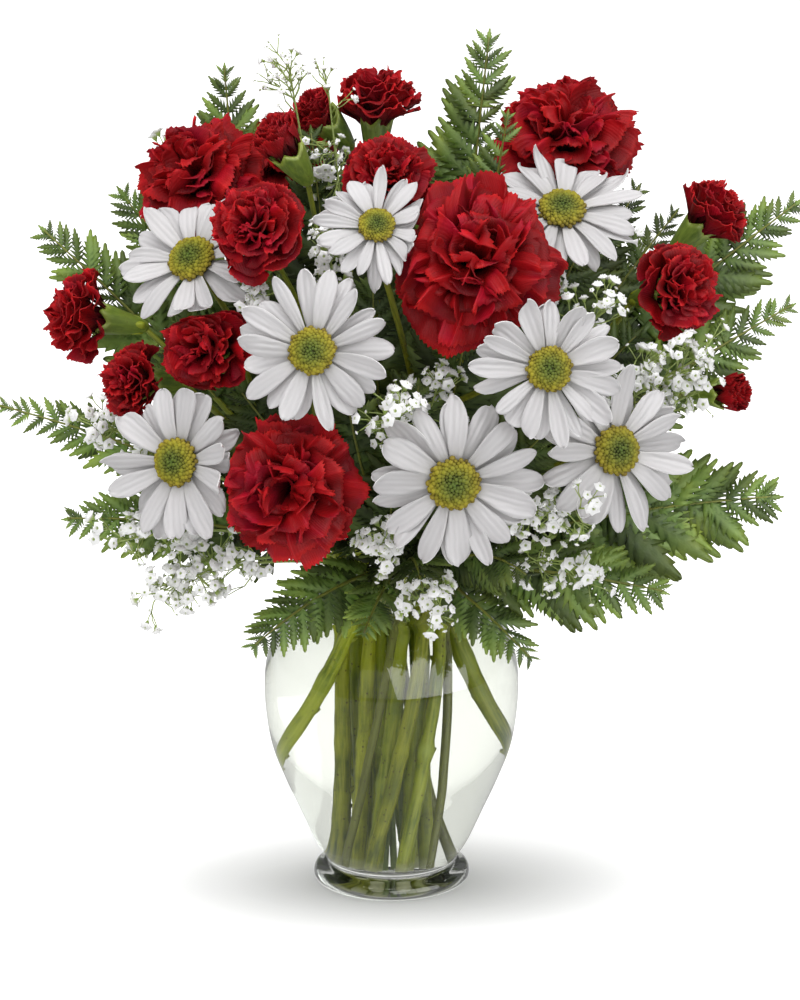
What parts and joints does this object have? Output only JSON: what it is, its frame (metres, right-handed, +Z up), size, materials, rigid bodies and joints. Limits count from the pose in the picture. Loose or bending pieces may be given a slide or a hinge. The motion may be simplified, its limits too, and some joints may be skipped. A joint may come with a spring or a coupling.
{
  "type": "carnations in a vase",
  "caption": "Bouquet of red carnations, spray carnations and white daisies with fern and baby's breath, standing in a round-shouldered clear glass vase of water",
  "frame": {"origin": "middle of the vase's flat underside, on the table", "axes": "+Z up, out of the vase; the bouquet's front looks along -Y; +X is to the right seen from the front"},
  "size_m": [0.3751, 0.2935, 0.4019],
  "materials": {
    "carnation_petals": "soft matte petals, deep red with brighter edges",
    "carnation_stems": "smooth waxy olive green",
    "daisy_rays": "smooth white petals, faintly grooved",
    "daisy_discs": "dense yellow-green florets",
    "daisy_stems": "matte green",
    "fern": "leathery green leaflets",
    "babys_breath": "white florets on fine yellow-green stalks",
    "clear_glass": "clear, polished",
    "water": "clear, still"
  },
  "bodies": {
    "root": {"babys_breath_front": "babys_breath", "babys_breath_left": "babys_breath", "babys_breath_right": "babys_breath", "carnation_1": "carnation_petals", "carnation_2": "carnation_petals", "carnation_3": "carnation_petals", "carnation_4": "carnation_petals", "carnation_5": "carnation_petals", "carnation_6": "carnation_petals", "carnation_stem_1": "carnation_stems", "carnation_stem_2": "carnation_stems", "carnation_stem_3": "carnation_stems", "carnation_stem_4": "carnation_stems", "carnation_stem_5": "carnation_stems", "carnation_stem_6": "carnation_stems", "daisy_10_disc": "daisy_discs", "daisy_10_rays": "daisy_rays", "daisy_1_disc": "daisy_discs", "daisy_1_rays": "daisy_rays", "daisy_2_disc": "daisy_discs", "daisy_2_rays": "daisy_rays", "daisy_3_disc": "daisy_discs", "daisy_3_rays": "daisy_rays", "daisy_4_disc": "daisy_discs", "daisy_4_rays": "daisy_rays", "daisy_5_disc": "daisy_discs", "daisy_5_rays": "daisy_rays", "daisy_6_disc": "daisy_discs", "daisy_6_rays": "daisy_rays", "daisy_7_disc": "daisy_discs", "daisy_7_rays": "daisy_rays", "daisy_8_disc": "daisy_discs", "daisy_8_rays": "daisy_rays", "daisy_9_disc": "daisy_discs", "daisy_9_rays": "daisy_rays", "daisy_stem_1": "daisy_stems", "daisy_stem_2": "daisy_stems", "daisy_stem_3": "daisy_stems", "fern_fronds_back": "fern", "fern_fronds_front": "fern", "fern_fronds_left": "fern", "fern_fronds_right": "fern", "spray_carnation_1": "carnation_petals", "spray_carnation_10": "carnation_petals", "spray_carnation_11": "carnation_petals", "spray_carnation_12": "carnation_petals", "spray_carnation_2": "carnation_petals", "spray_carnation_3": "carnation_petals", "spray_carnation_4": "carnation_petals", "spray_carnation_5": "carnation_petals", "spray_carnation_6": "carnation_petals", "spray_carnation_7": "carnation_petals", "spray_carnation_8": "carnation_petals", "spray_carnation_9": "carnation_petals", "spray_carnation_stem_1": "carnation_stems", "spray_carnation_stem_2": "carnation_stems", "spray_carnation_stem_3": "carnation_stems", "spray_carnation_stem_4": "carnation_stems", "vase": "clear_glass", "water": "water"}
  },
  "joints": []
}
